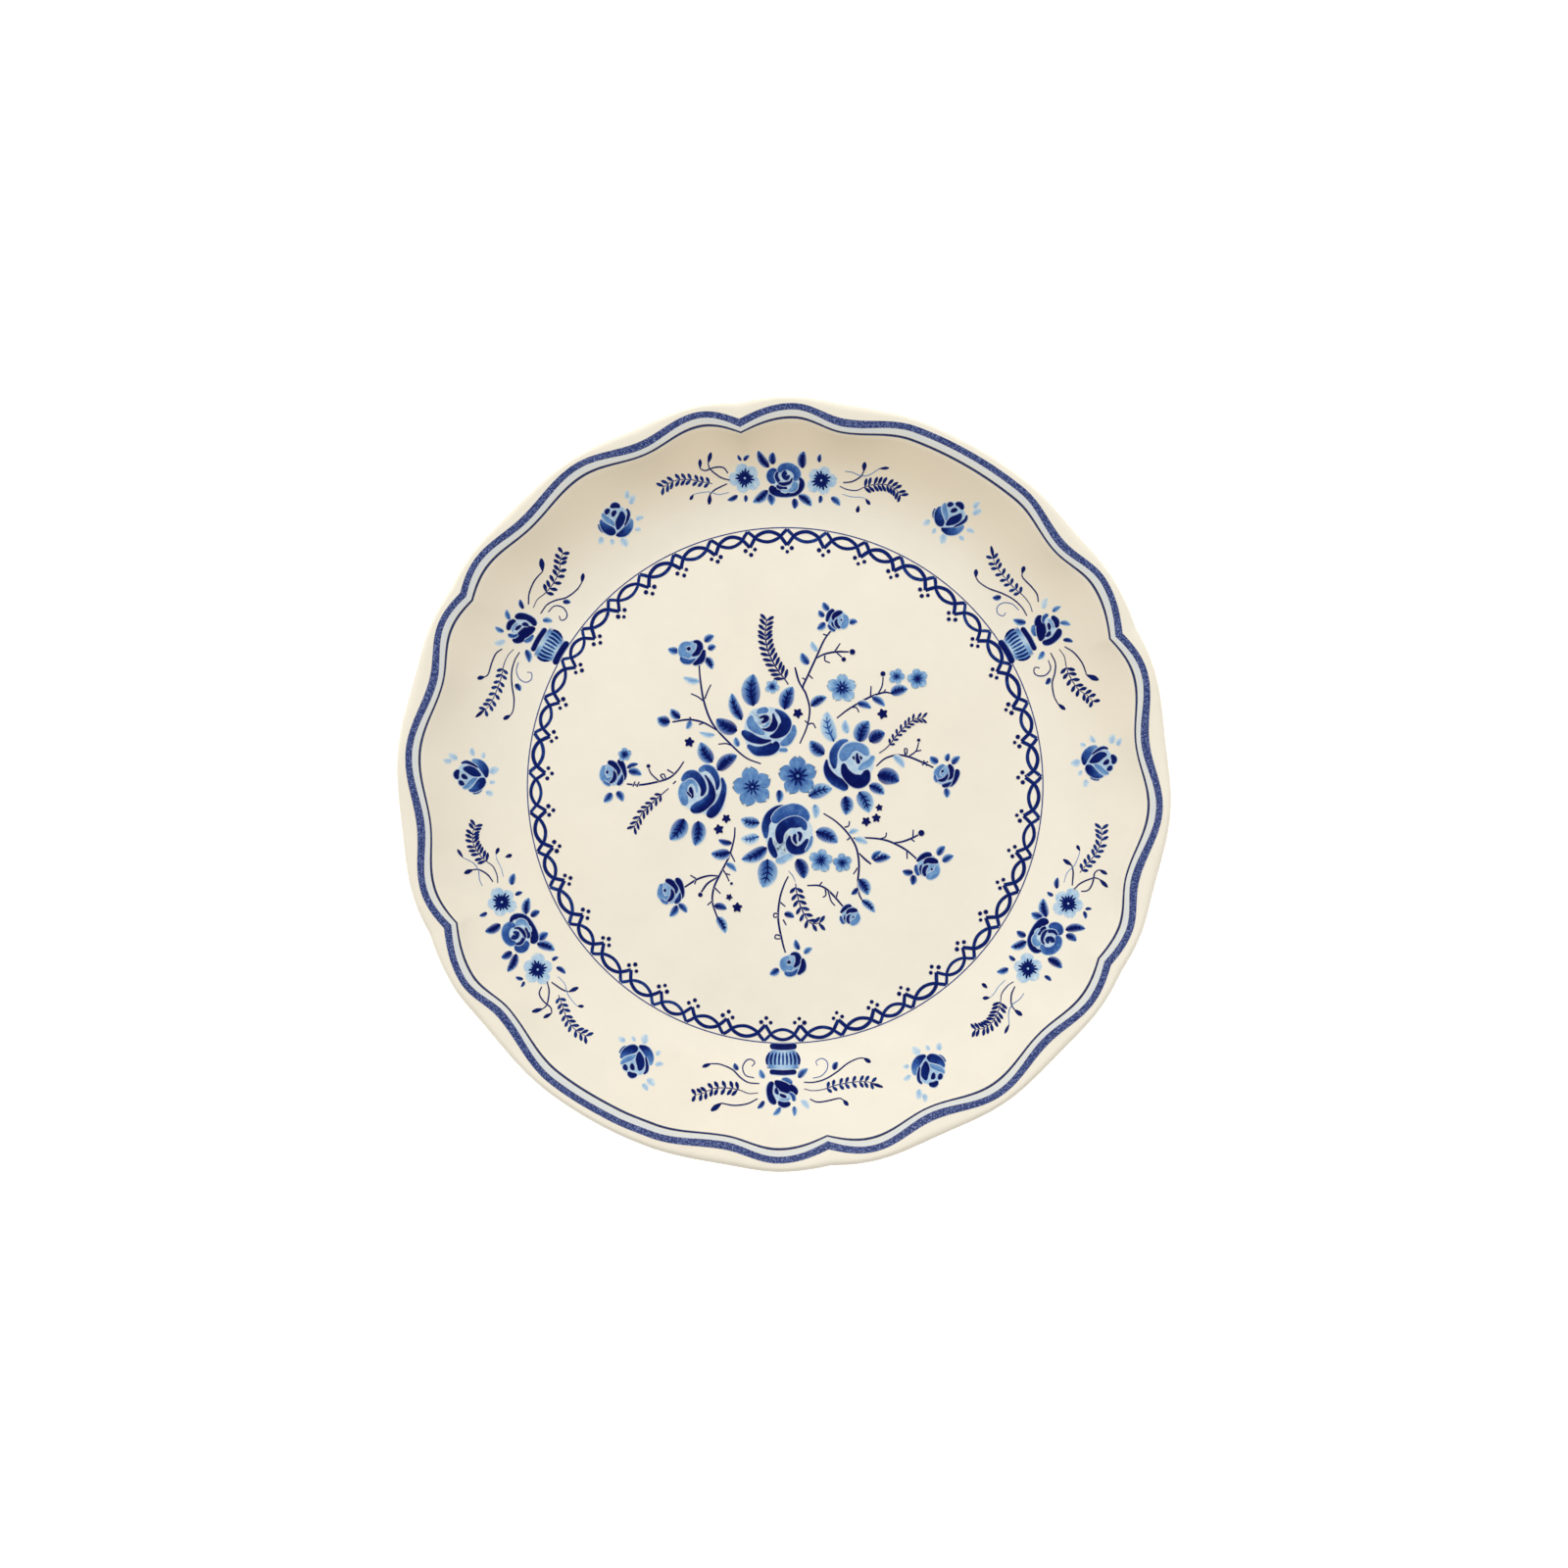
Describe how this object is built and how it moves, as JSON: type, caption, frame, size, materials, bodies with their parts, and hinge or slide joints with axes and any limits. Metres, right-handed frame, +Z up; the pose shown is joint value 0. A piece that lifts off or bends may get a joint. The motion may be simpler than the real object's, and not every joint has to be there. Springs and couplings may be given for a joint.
{
  "type": "china dinner plate",
  "caption": "Round china dinner plate with a scalloped lip, a shallow well, a foot ring and blue printed flowers on ivory glaze.",
  "frame": {"origin": "centre of the plate on the surface it stands on, under the middle of the well", "axes": "+Z up out of the well, +Y towards the top of the printed bouquet, +X to its right"},
  "size_m": [0.2674, 0.2676, 0.0229],
  "materials": {
    "bisque_clay": "unglazed, matt, slightly gritty",
    "ivory_glaze": "glossy, warm ivory",
    "cobalt_print": "cobalt blue print under a gloss"
  },
  "bodies": {
    "root": {"clay_body": "bisque_clay", "glaze_coat": "ivory_glaze", "base_glaze": "ivory_glaze", "centre_bouquet_decal": "cobalt_print", "chain_border_decal": "cobalt_print", "urn_decal_1": "cobalt_print", "urn_decal_2": "cobalt_print", "urn_decal_3": "cobalt_print", "garland_decal_1": "cobalt_print", "garland_decal_2": "cobalt_print", "garland_decal_3": "cobalt_print", "rose_decal_1": "cobalt_print", "rose_decal_2": "cobalt_print", "rose_decal_3": "cobalt_print", "rose_decal_4": "cobalt_print", "rose_decal_5": "cobalt_print", "rose_decal_6": "cobalt_print", "wide_edge_band": "cobalt_print", "thin_edge_line": "cobalt_print"}
  },
  "joints": []
}
